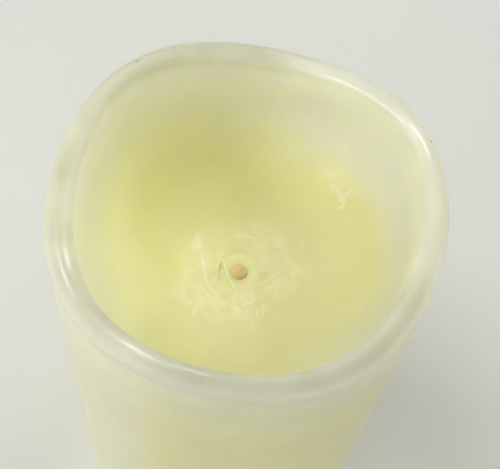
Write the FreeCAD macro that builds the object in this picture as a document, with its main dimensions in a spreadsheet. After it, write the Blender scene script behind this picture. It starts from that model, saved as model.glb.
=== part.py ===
import FreeCAD, Part
import math
import os
import Sketcher
from FreeCAD import Rotation, Vector

# A flameless LED pillar candle: a hollow wax pillar with a wavy melted rim and a deep bowl, one small LED
# in the middle of the bowl's floor, and a battery module that closes the pillar from below. The frame has its
# origin on the table under the candle's axis, +Z up. Lengths are millimetres.

doc = FreeCAD.newDocument("flameless_led_candle")
sheet = doc.addObject("Spreadsheet::Sheet", "dims")

DIMENSIONS = {
    # wax pillar
    "candle_radius": 38.0,
    "rim_mean_height": 148.0,
    "rim_round": 2.4,
    "bowl_mouth_radius": 33.0,
    "bowl_base_radius": 30.0,
    "bowl_floor_height": 117.0,
    "bowl_corner_round": 22.0,
    "stock_height": 158.0,
    "cavity_radius": 33.0,
    "cavity_roof_height": 108.0,
    "cavity_corner_round": 8.0,
    "rebate_radius": 35.0,
    "rebate_height": 3.6,
    "foot_chamfer": 0.8,
    # the rim's wave: one, two and three swells to the turn, each with its height and the angle of a crest
    "swell_one_height": 1.2,
    "swell_one_angle": 58.0,
    "swell_two_height": 0.8,
    "swell_two_angle": 70.0,
    "swell_three_height": 3.5,
    "swell_three_angle": 20.0,
    # LED and what holds it in the bowl's floor
    "plug_radius": 4.25,
    "plug_top_height": 116.6,
    "plug_dish": 0.35,
    "led_foot_height": 113.5,
    "led_radius": 1.5,
    "led_barrel": 3.8,
    "led_flange_radius": 1.9,
    "led_flange": 1.0,
    "lead_width": 0.5,
    "lead_spread": 1.27,
    "lead_end_height": 95.0,
    "glue_radius": 7.0,
    "glue_drop": 4.6,
    "sleeve_radius": 1.05,
    "sleeve_bore": 0.7,
    "sleeve_low": 90.0,
    "sleeve_length": 11.0,
    "wire_radius": 0.65,
    # battery cells, standing side by side
    "cell_radius": 7.1,
    "cell_sleeve": 0.15,
    "cell_sleeve_margin": 0.6,
    "cell_can": 49.0,
    "cell_nub": 1.2,
    "cell_nub_radius": 2.7,
    "cell_half_pitch": 7.3,
    "cell_row_offset": 9.5,
    "cell_up_height": 7.2,
    "cell_down_height": 5.2,
    # plastic base of the module, with the battery well
    "plate_low": 0.8,
    "plate_thickness": 2.4,
    "plate_radius": 34.8,
    "well_play": 0.4,
    "well_wall": 1.3,
    "well_roof_height": 59.1,
    "well_roof": 1.4,
    "collar_radius": 19.9,
    "collar_top_height": 6.2,
    "collar_web": 1.2,
    # bayonet door
    "door_radius": 18.9,
    "door_gap": 0.3,
    "door_low": 1.0,
    "door_thickness": 1.6,
    "door_seat_height": 2.8,
    "hub_radius": 16.2,
    "hub_bore": 14.8,
    "hub_top_height": 6.0,
    "hub_play": 0.2,
    "lug_reach": 1.6,
    "lug_low": 4.6,
    "lug_ledge_height": 4.4,
    "lug_sweep": 24.0,
    "lug_slot_sweep": 30.0,
    "lug_rest_angle": 8.0,
    "door_turn": 35.0,
    "coin_slot_length": 18.0,
    "coin_slot_width": 2.4,
    "coin_slot_depth": 1.0,
    # contacts
    "sheet_metal": 0.3,
    "bridge_length": 24.0,
    "bridge_width": 8.0,
    "stake_radius": 0.9,
    "stake_spread": 2.6,
    "contact_length": 11.0,
    "contact_width": 10.0,
    "tab_width": 3.0,
    "tab_top_height": 63.0,
    "spring_wire_radius": 0.3,
    "spring_wide_radius": 3.4,
    "spring_turns": 3.0,
    "spring_taper": 17.0,
    # cover cup of the module
    "cover_radius": 32.6,
    "cover_wall": 1.4,
    "cover_top_height": 68.0,
    "cover_corner_round": 4.0,
    "boss_radius": 3.2,
    "boss_height": 12.0,
    "boss_rib": 1.6,
    "side_screw_x": 26.0,
    "side_screw_y": -4.0,
    "rear_screw_x": 19.5,
    "rear_screw_y": 19.5,
    "screw_head_radius": 2.4,
    "screw_head": 1.3,
    "screw_radius": 1.1,
    "screw_length": 8.5,
    "screw_recess": 1.5,
    "grommet_radius": 3.2,
    "grommet_lip": 1.0,
    "grommet_bore": 2.1,
    # circuit board and slide switch
    "board_length": 31.0,
    "board_width": 22.0,
    "board_thickness": 1.2,
    "board_low": 9.0,
    "board_middle_y": 14.0,
    "board_screw_x": 13.1,
    "board_screw_y": 7.0,
    "standoff_radius": 2.3,
    "board_screw_head_radius": 2.0,
    "board_screw_radius": 0.9,
    "board_screw_length": 4.5,
    "switch_y": 17.0,
    "can_length": 13.0,
    "can_width": 6.0,
    "can_low": 4.3,
    "can_height": 3.9,
    "can_wall": 0.4,
    "pin_pitch": 3.0,
    "pin_width": 0.6,
    "pin_top_height": 11.2,
    "pad_row_y": 22.5,
    "led_pad_x": 3.0,
    "battery_pad_x": 11.0,
    "joint_radius": 1.2,
    "joint_height": 1.2,
    "knob_travel": 4.0,
    "knob_length": 5.4,
    "knob_width": 3.6,
    "knob_low": 1.1,
    "knob_cap": 1.0,
    "knob_stem_length": 2.4,
    "knob_stem_width": 2.2,
    "knob_foot_height": 4.9,
    "knob_foot": 1.6,
    "knob_play": 0.3,
}


class Size:
    """A length that carries both its number and its formula in the spreadsheet."""

    def __init__(self, number, formula):
        self.number = float(number)
        self.formula = formula

    def __add__(self, other):
        other = size(other)
        return Size(self.number + other.number, f"({self.formula} + {other.formula})")

    def __sub__(self, other):
        other = size(other)
        return Size(self.number - other.number, f"({self.formula} - {other.formula})")

    def __mul__(self, other):
        other = size(other)
        return Size(self.number * other.number, f"({self.formula} * {other.formula})")

    def __truediv__(self, other):
        other = size(other)
        return Size(self.number / other.number, f"({self.formula} / {other.formula})")

    def __neg__(self):
        return Size(-self.number, f"(0 - {self.formula})")

    def __radd__(self, other):
        return size(other) + self

    def __rsub__(self, other):
        return size(other) - self

    def __rmul__(self, other):
        return size(other) * self


def size(value):
    return value if isinstance(value, Size) else Size(value, repr(value))


class Dimensions:
    """Reads the sheet's aliases as Size values: D.plate_low is that cell's number and its formula."""

    def __getattr__(self, alias):
        return Size(DIMENSIONS[alias], "dims." + alias)


D = Dimensions()
ORIGIN = (0, 0, 0)


def fill_sheet():
    for row, (alias, number) in enumerate(DIMENSIONS.items(), start=1):
        sheet.set(f"A{row}", alias)
        sheet.set(f"B{row}", str(number))
        sheet.setAlias(f"B{row}", alias)
    doc.recompute()


# ---------------------------------------------------------------- building blocks


def place(item, at):
    for axis, value in zip("xyz", at):
        item.setExpression("Placement.Base." + axis, size(value).formula)
    return item


def primitive(kind, name, at, **sizes):
    item = doc.addObject("Part::" + kind, name)
    for key, value in sizes.items():
        item.setExpression(key, size(value).formula)
    return place(item, at)


def cylinder(name, radius, height, at=ORIGIN):
    return primitive("Cylinder", name, at, Radius=radius, Height=height)


def box(name, length, width, height, middle, low):
    """A block centred on the middle (x, y) that rises from the height low."""
    x, y = (size(v) for v in middle)
    corner = (x - size(length) / 2, y - size(width) / 2, low)
    return primitive("Box", name, corner, Length=length, Width=width, Height=height)


def cone(name, low_radius, top_radius, height, at=ORIGIN):
    return primitive("Cone", name, at, Radius1=low_radius, Radius2=top_radius, Height=height)


def sector(name, inner, outer, height, start, sweep, at=ORIGIN):
    """A piece of a ring, from the angle start through the angle sweep."""
    wedge = primitive("Cylinder", name + "_wedge", at, Radius=outer, Height=height, Angle=sweep)
    wedge.Placement.Rotation = Rotation(Vector(0, 0, 1), size(start).number)
    core = cylinder(name + "_core", inner, height, at)
    return cut(name, wedge, core)


def fuse(name, *items):
    item = doc.addObject("Part::MultiFuse", name)
    item.Shapes = list(items)
    item.Refine = True
    return item


def cut(name, base, *tools):
    item = doc.addObject("Part::Cut", name)
    item.Base = base
    item.Tool = tools[0] if len(tools) == 1 else fuse(name + "_tools", *tools)
    item.Refine = True
    return item


def group(name, items):
    """Several separate solids that share one node."""
    item = doc.addObject("Part::Compound", name)
    item.Links = list(items)
    return item


def shaped(name, shape):
    """A piece whose shape comes from Part's own functions."""
    item = doc.addObject("Part::Feature", name)
    item.Shape = shape
    return item


def origin_plane(body, role):
    return next(f for f in body.Origin.OriginFeatures if f.Role == role)


def pin_corner(sketch, line, value, kind, axis):
    """Holds the start of a line at a distance from the sketch's origin, or on its axis where that is 0."""
    if value.number == 0:
        sketch.addConstraint(Sketcher.Constraint("PointOnObject", line, 1, axis))
        return
    index = sketch.addConstraint(Sketcher.Constraint(kind, -1, 1, line, 1, value.number))
    sketch.setExpression(f"Constraints[{index}]", value.formula)


def draw(sketch, outline):
    """A closed outline of straight lines, each corner given as its two distances from the origin."""
    corners = [(size(x), size(y)) for x, y in outline]
    points = [Vector(x.number, y.number, 0) for x, y in corners]
    count = len(points)
    for i in range(count):
        sketch.addGeometry(Part.LineSegment(points[i], points[(i + 1) % count]), False)
    for i in range(count):
        sketch.addConstraint(Sketcher.Constraint("Coincident", i, 2, (i + 1) % count, 1))
    for i, (x, y) in enumerate(corners):
        pin_corner(sketch, i, x, "DistanceX", -2)
        pin_corner(sketch, i, y, "DistanceY", -1)


def turned(name, outline, at=ORIGIN):
    """A body turned about +Z from its half section, corners given as (radius, height)."""
    body = doc.addObject("PartDesign::Body", name)
    sketch = body.newObject("Sketcher::SketchObject", name + "_section")
    sketch.AttachmentSupport = [(origin_plane(body, "XZ_Plane"), "")]
    sketch.MapMode = "FlatFace"
    draw(sketch, outline)
    turn = body.newObject("PartDesign::Revolution", name + "_turn")
    turn.Profile = sketch
    turn.ReferenceAxis = (sketch, ["V_Axis"])
    turn.Angle = 360
    doc.recompute()
    return place(body, at)


def rounded(body, name, edges, radius):
    """Rounds the listed edges of a body's tip."""
    base = body.Tip
    item = body.newObject("PartDesign::Fillet", name)
    item.Base = (base, edges)
    item.setExpression("Radius", size(radius).formula)
    doc.recompute()
    return item


def ring_edges(item, radius, height):
    """Names of the circular edges about +Z with this radius, at this height of the shape."""
    names = []
    for i, edge in enumerate(item.Shape.Edges, start=1):
        curve = edge.Curve
        if isinstance(curve, Part.Circle) and abs(curve.Radius - radius) < 1e-4:
            if abs(curve.Center.z - height) < 1e-4 and len(edge.Vertexes) == 1:
                names.append(f"Edge{i}")
    return names


def wire_tube(name, points, bends, radius):
    """An insulated wire along straight runs joined by tangent arcs, one bend for each inner point."""
    corners = [Vector(*p) for p in points]
    edges, here = [], corners[0]
    for before, corner, after, bend in zip(corners, corners[1:], corners[2:], bends):
        back, ahead = (before - corner).normalize(), (after - corner).normalize()
        half = back.getAngle(ahead) / 2
        reach = bend / math.tan(half)
        start, end = corner + back * reach, corner + ahead * reach
        inward = (back + ahead).normalize()
        middle = corner + inward * (bend / math.sin(half) - bend)
        edges += [Part.LineSegment(here, start).toShape(), Part.Arc(start, middle, end).toShape()]
        here = end
    edges.append(Part.LineSegment(here, corners[-1]).toShape())
    path = Part.Wire(edges)
    across = Part.Circle(corners[0], corners[1] - corners[0], radius).toShape()
    item = shaped(name, path.makePipeShell([Part.Wire([across])], True, True))
    expected = math.pi * radius**2 * path.Length
    if abs(item.Shape.Volume / expected - 1) > 0.01:
        raise RuntimeError(f"{name}: volume {item.Shape.Volume:.2f}, expected {expected:.2f}")
    return item


def coil_spring(name, height, at, hangs):
    """A conical coil spring with its wide end at the point at, standing on it or hanging from it."""
    x, y, z = (size(v) for v in at)
    travel = size(height) - 2 * D.spring_wire_radius
    inset = -D.spring_wire_radius if hangs else D.spring_wire_radius
    foot = (x, y, z + inset)
    helix = primitive(
        "Helix", name + "_path", foot, Pitch=travel / D.spring_turns, Height=travel,
        Radius=D.spring_wide_radius, Angle=-D.spring_taper,
    )
    if hangs:
        helix.Placement.Rotation = Rotation(Vector(1, 0, 0), 180)
    across = primitive(
        "Circle", name + "_wire", (x + D.spring_wide_radius, y, foot[2]), Radius=D.spring_wire_radius
    )
    across.Placement.Rotation = Rotation(Vector(1, 0, 0), 90)
    doc.recompute()
    item = doc.addObject("Part::Sweep", name)
    item.Sections = [across]
    item.Spine = (helix, ["Edge1"])
    item.Solid = True
    item.Frenet = True
    return item


# ---------------------------------------------------------------- wax pillar


def rim_wave(angle):
    """Height of the melted rim above its mean, at an angle about +Z in radians."""
    total = 0.0
    for count, word in enumerate(("one", "two", "three"), start=1):
        height = DIMENSIONS[f"swell_{word}_height"]
        crest = math.radians(DIMENSIONS[f"swell_{word}_angle"])
        total += height * math.cos(count * (angle - crest))
    return total


def wave_cutter():
    """Everything above the wavy rim: a ruled band between two closed waves, raised into a solid."""
    steps = 72
    inner, outer = 0.6 * D.candle_radius.number, 1.15 * D.candle_radius.number
    curves = []
    for radius in (inner, outer):
        points = []
        for i in range(steps):
            angle = 2 * math.pi * i / steps
            height = D.rim_mean_height.number + rim_wave(angle)
            points.append(Vector(radius * math.cos(angle), radius * math.sin(angle), height))
        curve = Part.BSplineCurve()
        curve.interpolate(points, PeriodicFlag=True)
        curves.append(curve.toShape())
    band = Part.makeRuledSurface(curves[0], curves[1])
    return shaped("rim_wave_cutter", band.extrude(Vector(0, 0, D.candle_radius.number)))


def wax_shell():
    stock = turned(
        "wax_stock",
        [
            (D.rebate_radius, 0),
            (D.candle_radius - D.foot_chamfer, 0),
            (D.candle_radius, D.foot_chamfer),
            (D.candle_radius, D.stock_height),
            (D.bowl_mouth_radius, D.stock_height),
            (D.bowl_mouth_radius, D.rim_mean_height),
            (D.bowl_base_radius, D.bowl_floor_height),
            (D.plug_radius, D.bowl_floor_height),
            (D.plug_radius, D.cavity_roof_height),
            (D.cavity_radius, D.cavity_roof_height),
            (D.cavity_radius, D.rebate_height),
            (D.rebate_radius, D.rebate_height),
        ],
    )
    bowl_corner = ring_edges(stock.Tip, D.bowl_base_radius.number, D.bowl_floor_height.number)
    rounded(stock, "bowl_round", bowl_corner, D.bowl_corner_round)
    roof_corner = ring_edges(stock.Tip, D.cavity_radius.number, D.cavity_roof_height.number)
    rounded(stock, "roof_round", roof_corner, D.cavity_corner_round)
    rough = cut("wax_rough", stock, wave_cutter())
    doc.recompute()
    lowest = D.rim_mean_height.number - 2 * D.swell_three_height.number
    rim = [
        (i, D.rim_round.number, D.rim_round.number)
        for i, edge in enumerate(rough.Shape.Edges, start=1)
        if edge.BoundBox.ZMin > lowest and edge.BoundBox.XLength > D.bowl_mouth_radius.number
    ]
    item = doc.addObject("Part::Fillet", "wax_shell")
    item.Base = rough
    item.Edges = rim
    return item


def wax_plug():
    """Wax poured round the LED, dished a little below the bowl's floor."""
    return turned(
        "wax_plug",
        [
            (D.led_flange_radius, D.cavity_roof_height),
            (D.plug_radius, D.cavity_roof_height),
            (D.plug_radius, D.plug_top_height),
            (D.led_radius, D.plug_top_height - D.plug_dish),
            (D.led_radius, D.led_foot_height + D.led_flange),
            (D.led_flange_radius, D.led_foot_height + D.led_flange),
        ],
    )


# ---------------------------------------------------------------- LED


def led_leads():
    """Two square leads, with the posts and the reflector cup that stand inside the epoxy."""
    solids = []
    inner = 0.5 * D.led_radius
    for name, side, top in (("anode", -1, 2.9), ("cathode", 1, 2.2)):
        middle = (side * D.lead_spread, 0)
        long_lead = box(
            name + "_lead",
            D.lead_width,
            D.lead_width,
            D.led_foot_height + 0.6 - D.lead_end_height,
            middle,
            D.lead_end_height,
        )
        step = box(
            name + "_step",
            D.lead_spread - inner + D.lead_width,
            D.lead_width,
            0.4,
            (side * (D.lead_spread + inner) / 2, 0),
            D.led_foot_height + 0.5,
        )
        post = box(
            name + "_post", D.lead_width, D.lead_width, top - 0.5, (side * inner, 0),
            D.led_foot_height + 0.5,
        )
        pieces = [long_lead, step, post]
        if name == "cathode":
            at = (0.25 * inner, 0, D.led_foot_height + top)
            pieces.append(cone("reflector_cup", 0.45, 0.65, 0.5, at))
        solids.append(fuse(name, *pieces))
    return group("led_leads", solids)


def led_body(leads):
    """Epoxy of a 3 mm LED: flange with a flat on the cathode side, barrel and round nose."""
    foot = D.led_foot_height
    barrel = cylinder("led_barrel_solid", D.led_radius, D.led_barrel, (0, 0, foot))
    flange = cylinder("led_flange_solid", D.led_flange_radius, D.led_flange, (0, 0, foot))
    nose = primitive("Sphere", "led_nose", (0, 0, foot + D.led_barrel), Radius=D.led_radius)
    flat = box("led_flat", D.led_radius, 3 * D.led_radius, D.led_flange, (1.6 * D.led_radius, 0), foot)
    whole = fuse("led_epoxy", barrel, flange, nose)
    return cut("led_body", whole, flat, leads)


def led_glue(leads):
    """Hot-melt glue that holds the LED from below, with the leads through it."""
    roof = D.cavity_roof_height
    neck = cylinder("glue_neck", D.led_flange_radius, D.led_foot_height - roof + 1, (0, 0, roof - 1))
    blob = primitive(
        "Ellipsoid", "glue_blob", (0, 0, roof), Radius1=D.glue_drop, Radius2=D.glue_radius,
        Radius3=D.glue_radius,
    )
    above = cylinder("glue_above", D.glue_radius + 1, D.glue_drop + 1, (0, 0, roof))
    dome = cut("glue_dome", blob, above)
    return cut("led_glue", fuse("glue_whole", neck, dome), leads)


def lead_sleeves():
    solids = []
    for name, side in (("red_sleeve", -1), ("black_sleeve", 1)):
        at = (side * D.lead_spread, 0, D.sleeve_low)
        tube = cylinder(name + "_outside", D.sleeve_radius, D.sleeve_length, at)
        bore = cylinder(name + "_bore", D.sleeve_bore, D.sleeve_length, at)
        solids.append(cut(name, tube, bore))
    return group("lead_sleeves", solids)


# ---------------------------------------------------------------- battery module: base, door and cover


def well_block(name, grow, low, high):
    """The upright block with round ends that stands round both cells, its walls grown outwards by grow."""
    end = D.cell_radius + D.well_play + grow
    middle = box(name + "_middle", 2 * D.cell_half_pitch, 2 * end, high - low, (0, -D.cell_row_offset), low)
    ends = [
        cylinder(f"{name}_{word}", end, high - low, (side * D.cell_half_pitch, -D.cell_row_offset, low))
        for word, side in (("left", -1), ("right", 1))
    ]
    return fuse(name, middle, *ends)


def screw_places():
    for word, side in (("left", -1), ("right", 1)):
        yield "side_" + word, side * D.side_screw_x, D.side_screw_y
        yield "rear_" + word, side * D.rear_screw_x, D.rear_screw_y


def door_ring_at(low):
    return (0, -D.cell_row_offset, low)


def module_base():
    """Base plate, door seat, bayonet channel and battery well, in one moulding."""
    plate_top = D.plate_low + D.plate_thickness
    web_top = D.collar_top_height + D.collar_web
    channel = D.hub_radius + D.lug_reach + D.door_gap
    solid = [
        cylinder("base_plate", D.plate_radius, D.plate_thickness, (0, 0, D.plate_low)),
        cylinder("base_collar", D.collar_radius, web_top - plate_top, door_ring_at(plate_top)),
        well_block("well_outside", D.well_wall, D.collar_top_height, D.well_roof_height + D.well_roof),
    ]
    hollow = [
        well_block("well_inside", size(0), D.collar_top_height, D.well_roof_height),
        cylinder(
            "door_seat", D.door_radius + D.door_gap, D.door_seat_height - D.plate_low,
            door_ring_at(D.plate_low),
        ),
        cylinder(
            "door_hole", D.hub_radius + D.hub_play, D.lug_ledge_height - D.door_seat_height,
            door_ring_at(D.door_seat_height),
        ),
        cylinder(
            "lug_channel", channel, D.collar_top_height - D.lug_ledge_height,
            door_ring_at(D.lug_ledge_height),
        ),
    ]
    for word, half_turn in (("near", 0), ("far", 180)):
        middle = half_turn + D.lug_rest_angle - D.door_turn
        hollow.append(
            sector(
                "lug_entry_" + word, D.hub_radius - 1, channel, D.lug_ledge_height - D.door_seat_height,
                middle - D.lug_slot_sweep / 2, D.lug_slot_sweep, door_ring_at(D.door_seat_height),
            )
        )
    for word, x, y in screw_places():
        hollow.append(
            cylinder("screw_way_" + word, D.screw_radius + 0.2, D.plate_thickness, (x, y, D.plate_low))
        )
        hollow.append(
            cylinder("screw_sink_" + word, D.screw_head_radius + 0.3, D.screw_recess, (x, y, D.plate_low))
        )
    slot_length = D.knob_travel + D.knob_stem_length + 2 * D.knob_play
    slot_width = D.knob_stem_width + 2 * D.knob_play
    hollow.append(
        box("knob_slot", slot_length, slot_width, D.plate_thickness, (0, D.switch_y), D.plate_low)
    )
    hollow.append(
        box(
            "knob_recess", D.knob_travel + D.knob_length + 3 * D.knob_play, D.knob_width + 4 * D.knob_play,
            D.knob_low + D.knob_cap + 0.2 - D.plate_low, (0, D.switch_y), D.plate_low,
        )
    )
    for word, side in (("left", -1), ("right", 1)):
        hollow.append(
            box(
                "tab_slot_" + word, D.tab_width + 0.4, D.sheet_metal + 0.2, D.well_roof,
                (side * D.cell_half_pitch, D.contact_width / 2 - D.cell_row_offset - D.sheet_metal / 2),
                D.well_roof_height,
            )
        )
    shell = cut("base_shell", fuse("base_solid", *solid), *hollow)
    added = []
    for word, half_turn in (("near", 0), ("far", 180)):
        closed_side = half_turn + D.lug_rest_angle + D.lug_sweep / 2 + 1
        open_side = half_turn + D.lug_rest_angle - D.door_turn - D.lug_sweep / 2 - 6
        for end, start in (("closed", closed_side), ("open", open_side)):
            added.append(
                sector(
                    f"lug_stop_{word}_{end}", D.hub_radius + D.hub_play, channel + 0.2,
                    D.collar_top_height - D.lug_ledge_height, start, 5, door_ring_at(D.lug_ledge_height),
                )
            )
    for word, side in (("left", -1), ("right", 1)):
        post = cylinder(
            "standoff_post_" + word, D.standoff_radius, D.board_low - plate_top,
            (side * D.board_screw_x, D.board_screw_y, plate_top),
        )
        pilot = cylinder(
            "standoff_pilot_" + word, D.board_screw_radius, D.board_screw_length + 0.5,
            (side * D.board_screw_x, D.board_screw_y, D.board_low - D.board_screw_length - 0.5),
        )
        added.append(cut("standoff_" + word, post, pilot))
    return fuse("module_base", shell, *added)


def battery_door():
    """Round bayonet door: disc, hub ring with two lugs, coin slot, grip grooves and the bridge's stakes."""
    inside = D.door_low + D.door_thickness
    disc = cylinder("door_disc", D.door_radius, D.door_thickness, door_ring_at(D.door_low))
    hub = cut(
        "door_hub",
        cylinder("door_hub_outside", D.hub_radius, D.hub_top_height - inside, door_ring_at(inside)),
        cylinder("door_hub_inside", D.hub_bore, D.hub_top_height - inside, door_ring_at(inside)),
    )
    lugs = [
        sector(
            "door_lug_" + word, D.hub_radius - 0.5, D.hub_radius + D.lug_reach,
            D.hub_top_height - D.lug_low, half_turn + D.lug_rest_angle - D.lug_sweep / 2, D.lug_sweep, door_ring_at(D.lug_low),
        )
        for word, half_turn in (("near", 0), ("far", 180))
    ]
    stakes = [
        cylinder(
            "door_stake_" + word, D.stake_radius, 0.9,
            (0, side * D.stake_spread - D.cell_row_offset, inside),
        )
        for word, side in (("near", -1), ("far", 1))
    ]
    middle = (0, -D.cell_row_offset)
    coin_slot = box(
        "coin_slot", D.coin_slot_length, D.coin_slot_width, D.coin_slot_depth, middle, D.door_low
    )
    grooves = [
        sector(
            f"grip_groove_{side}_{i}", 0.78 * D.door_radius, 0.93 * D.door_radius, 0.4,
            55 + 180 * side + 8 * i, 3.5, door_ring_at(D.door_low),
        )
        for side in (0, 1)
        for i in range(9)
    ]
    return cut("battery_door", fuse("door_solid", disc, hub, *lugs, *stakes), coin_slot, *grooves)


def module_cover():
    """Plastic cup over the cells and the board, with four screw bosses low on its wall."""
    plate_top = D.plate_low + D.plate_thickness
    inner = D.cover_radius - D.cover_wall
    roof = D.cover_top_height - D.cover_wall
    cup = turned(
        "cover_cup",
        [
            (inner, plate_top),
            (D.cover_radius, plate_top),
            (D.cover_radius, D.cover_top_height),
            (D.grommet_radius, D.cover_top_height),
            (D.grommet_radius, roof),
            (inner, roof),
        ],
    )
    rounded(
        cup, "cover_outer_round", ring_edges(cup.Tip, D.cover_radius.number, D.cover_top_height.number),
        D.cover_corner_round,
    )
    rounded(
        cup, "cover_inner_round", ring_edges(cup.Tip, inner.number, roof.number),
        D.cover_corner_round - D.cover_wall,
    )
    bosses, pilots = [], []
    for word, x, y in screw_places():
        bosses.append(cylinder("boss_" + word, D.boss_radius, D.boss_height, (x, y, plate_top)))
        rib = primitive(
            "Box", "boss_rib_" + word, (x, y, plate_top), Length=D.cover_wall + 4.5, Width=D.boss_rib,
            Height=D.boss_height,
        )
        outward = math.degrees(math.atan2(y.number, x.number))
        rib.Placement.Rotation = Rotation(Vector(0, 0, 1), outward)
        bosses.append(rib)
        pilots.append(cylinder("boss_pilot_" + word, D.screw_radius, D.boss_height - 2, (x, y, plate_top)))
    outside = cylinder("cover_outline", D.cover_radius - 0.2, D.boss_height, (0, 0, plate_top))
    trimmed = doc.addObject("Part::Common", "cover_bosses")
    trimmed.Base = fuse("cover_boss_blocks", *bosses)
    trimmed.Tool = outside
    return cut("module_cover", fuse("cover_solid", cup, trimmed), *pilots)


def screw(name, x, y, head_low, points_up, head_radius, head, radius, length):
    """A pan-head screw with a cross recess, its shank pointing up, or down."""
    shank_low = head_low + head if points_up else head_low - length
    head_solid = cylinder(name + "_head", head_radius, head, (x, y, head_low))
    shank = cylinder(name + "_shank", radius, length, (x, y, shank_low))
    recess_depth = 0.6 * size(head)
    recess_low = head_low if points_up else head_low + head - recess_depth
    cross = [
        box(name + "_cross_long", 1.2 * size(head_radius), 0.5, recess_depth, (x, y), recess_low),
        box(name + "_cross_wide", 0.5, 1.2 * size(head_radius), recess_depth, (x, y), recess_low),
    ]
    return cut(name, fuse(name + "_solid", head_solid, shank), *cross)


def cover_screws():
    head_low = D.plate_low + D.screw_recess - D.screw_head
    return group(
        "cover_screws",
        [
            screw(
                "cover_screw_" + word, x, y, head_low, True, D.screw_head_radius, D.screw_head, D.screw_radius,
                D.screw_length,
            )
            for word, x, y in screw_places()
        ],
    )


def base_glue_ring():
    """Bead of glue between the base plate and the step in the wax."""
    top = D.plate_low + D.plate_thickness
    ring = cylinder("glue_ring_outside", D.plate_radius, D.rebate_height - top, (0, 0, top))
    bore = cylinder("glue_ring_inside", D.cover_radius + 0.2, D.rebate_height - top, (0, 0, top))
    return cut("base_glue_ring", ring, bore)


def wire_grommet():
    top = D.cover_top_height
    roof = D.cover_top_height - D.cover_wall
    lip_radius = D.grommet_radius + D.grommet_lip
    return turned(
        "wire_grommet",
        [
            (D.grommet_bore, roof - D.grommet_lip),
            (lip_radius, roof - D.grommet_lip),
            (lip_radius, roof),
            (D.grommet_radius, roof),
            (D.grommet_radius, top),
            (lip_radius, top),
            (lip_radius, top + D.grommet_lip),
            (D.grommet_bore, top + D.grommet_lip),
        ],
    )


# ---------------------------------------------------------------- cells and contacts


def battery(name, side, nub_up, low):
    """An AA cell: a steel can with its nub above it or below it, and the plastic sleeve round the can."""
    can_low = low if nub_up else low + D.cell_nub
    nub_low = low + D.cell_can if nub_up else low
    x, y = side * D.cell_half_pitch, -D.cell_row_offset
    bare = D.cell_radius - D.cell_sleeve
    can = cylinder(name + "_can", bare, D.cell_can, (x, y, can_low))
    nub = cylinder(name + "_nub", D.cell_nub_radius, D.cell_nub, (x, y, nub_low))
    margin = D.cell_sleeve_margin
    sleeve_length = D.cell_can - 2 * margin
    around = cylinder(name + "_around", D.cell_radius, sleeve_length, (x, y, can_low + margin))
    within = cylinder(name + "_within", bare, sleeve_length, (x, y, can_low + margin))
    return [fuse(name, can, nub), cut(name + "_sleeve", around, within)]


def roof_contact(name, side, dimple):
    """Contact plate under the well's roof, with a tab up through it and a dimple down to a cell's nub."""
    x, y = side * D.cell_half_pitch, -D.cell_row_offset
    low = D.well_roof_height - D.sheet_metal
    plate = box(name + "_plate", D.contact_length, D.contact_width, D.sheet_metal, (x, y), low)
    tab = box(
        name + "_tab", D.tab_width, D.sheet_metal, D.tab_top_height - low,
        (x, y + D.contact_width / 2 - D.sheet_metal / 2), low,
    )
    pieces = [plate, tab]
    if dimple:
        nub_top = D.cell_up_height + D.cell_can + D.cell_nub
        pieces.append(cone(name + "_dimple", 1.6, 2.6, low - nub_top, (x, y, nub_top)))
    return fuse(name, *pieces)


def bridge_contact():
    """Plate staked to the door that joins the two lower ends, with a raised boss under the downward nub."""
    low = D.door_low + D.door_thickness
    plate_top = low + D.sheet_metal
    y = -D.cell_row_offset
    plate = box("bridge_plate", D.bridge_length, D.bridge_width, D.sheet_metal, (0, y), low)
    boss = cone("bridge_boss", 3.0, 2.0, D.cell_down_height - plate_top, (D.cell_half_pitch, y, plate_top))
    holes = [
        cylinder("bridge_hole_" + word, D.stake_radius, D.sheet_metal, (0, y + side * D.stake_spread, low))
        for word, side in (("near", -1), ("far", 1))
    ]
    return cut("bridge_contact", fuse("bridge_solid", plate, boss), *holes)


def springs():
    """Each has its wide end on its contact plate and its narrow end on a cell."""
    y = -D.cell_row_offset
    bridge_top = D.door_low + D.door_thickness + D.sheet_metal
    lower = coil_spring(
        "bridge_spring", D.cell_up_height - bridge_top, (-D.cell_half_pitch, y, bridge_top), False
    )
    flat_top = D.cell_down_height + D.cell_nub + D.cell_can
    contact_low = D.well_roof_height - D.sheet_metal
    upper = coil_spring("negative_spring", contact_low - flat_top, (D.cell_half_pitch, y, contact_low), True)
    return [lower, upper]


# ---------------------------------------------------------------- circuit board and what is on it


def wire_pads():
    for word, side in (("left", -1), ("right", 1)):
        yield "led_" + word, side * D.led_pad_x
        yield "battery_" + word, side * D.battery_pad_x


def switch_pin_places():
    for i in range(4):
        yield i, (i - 1.5) * D.pin_pitch


def circuit_board():
    middle = (0, D.board_middle_y)
    blank = box("board_blank", D.board_length, D.board_width, D.board_thickness, middle, D.board_low)
    holes = [
        cylinder(
            "board_screw_hole_" + word, D.board_screw_radius + 0.15, D.board_thickness,
            (side * D.board_screw_x, D.board_screw_y, D.board_low),
        )
        for word, side in (("left", -1), ("right", 1))
    ]
    holes += [
        cylinder("wire_hole_" + word, 0.4, D.board_thickness, (x, D.pad_row_y, D.board_low))
        for word, x in wire_pads()
    ]
    holes += [
        box(f"pin_hole_{i}", D.pin_width, D.pin_width, D.board_thickness, (x, D.switch_y), D.board_low)
        for i, x in switch_pin_places()
    ]
    return cut("circuit_board", blank, *holes)


def board_screws():
    top = D.board_low + D.board_thickness
    return group(
        "board_screws",
        [
            screw(
                "board_screw_" + word, side * D.board_screw_x, D.board_screw_y, top, False,
                D.board_screw_head_radius, 1.3, D.board_screw_radius, D.board_screw_length + D.board_thickness,
            )
            for word, side in (("left", -1), ("right", 1))
        ],
    )


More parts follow.
